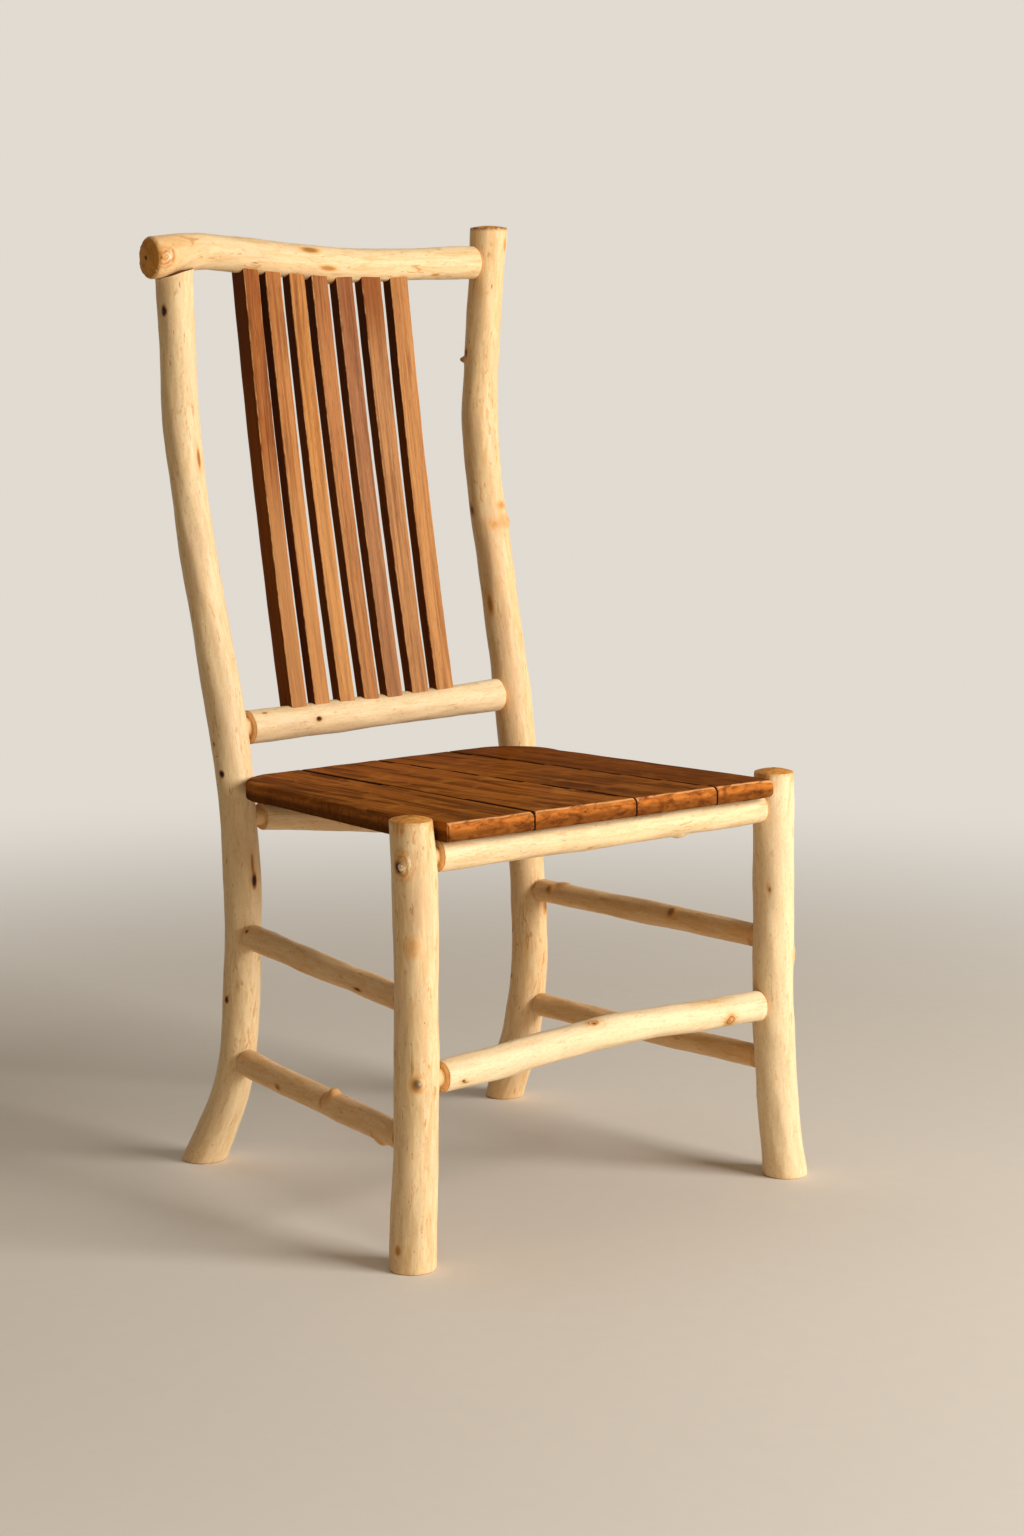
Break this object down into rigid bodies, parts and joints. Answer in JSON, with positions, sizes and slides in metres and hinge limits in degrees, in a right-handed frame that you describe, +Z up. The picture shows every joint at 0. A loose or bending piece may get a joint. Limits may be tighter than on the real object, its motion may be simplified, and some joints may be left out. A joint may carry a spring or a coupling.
{
  "type": "twig chair",
  "caption": "Rustic side chair: a peeled pole frame joined with round tenons, a raked back of bowed walnut slats and a plank seat.",
  "frame": {"origin": "on the floor, below the middle of the chair's bounding box", "axes": "+Z up; the chair faces -Y; +X to the right of someone who looks at its front"},
  "size_m": [0.5676, 0.5375, 1.057],
  "materials": {
    "peeled_pole": "satin",
    "slat_walnut": "satin",
    "seat_walnut": "gloss",
    "batten_walnut": "matte",
    "screw_steel": "satin"
  },
  "bodies": {
    "root": {"rear_post_left": "peeled_pole", "rear_post_right": "peeled_pole", "front_leg_left": "peeled_pole", "front_leg_right": "peeled_pole", "crest_rail": "peeled_pole", "lower_back_rail": "peeled_pole", "front_seat_rail": "peeled_pole", "rear_seat_rail": "peeled_pole", "side_stretcher_upper_left": "peeled_pole", "side_stretcher_lower_left": "peeled_pole", "side_stretcher_upper_right": "peeled_pole", "side_stretcher_lower_right": "peeled_pole", "front_stretcher": "peeled_pole", "back_slat_1": "slat_walnut", "back_slat_2": "slat_walnut", "back_slat_3": "slat_walnut", "back_slat_4": "slat_walnut", "back_slat_5": "slat_walnut", "back_slat_6": "slat_walnut", "back_slat_7": "slat_walnut", "seat_board_1": "seat_walnut", "seat_board_2": "seat_walnut", "seat_board_3": "seat_walnut", "seat_board_4": "seat_walnut", "seat_batten": "batten_walnut", "seat_screws": "screw_steel"}
  },
  "joints": []
}
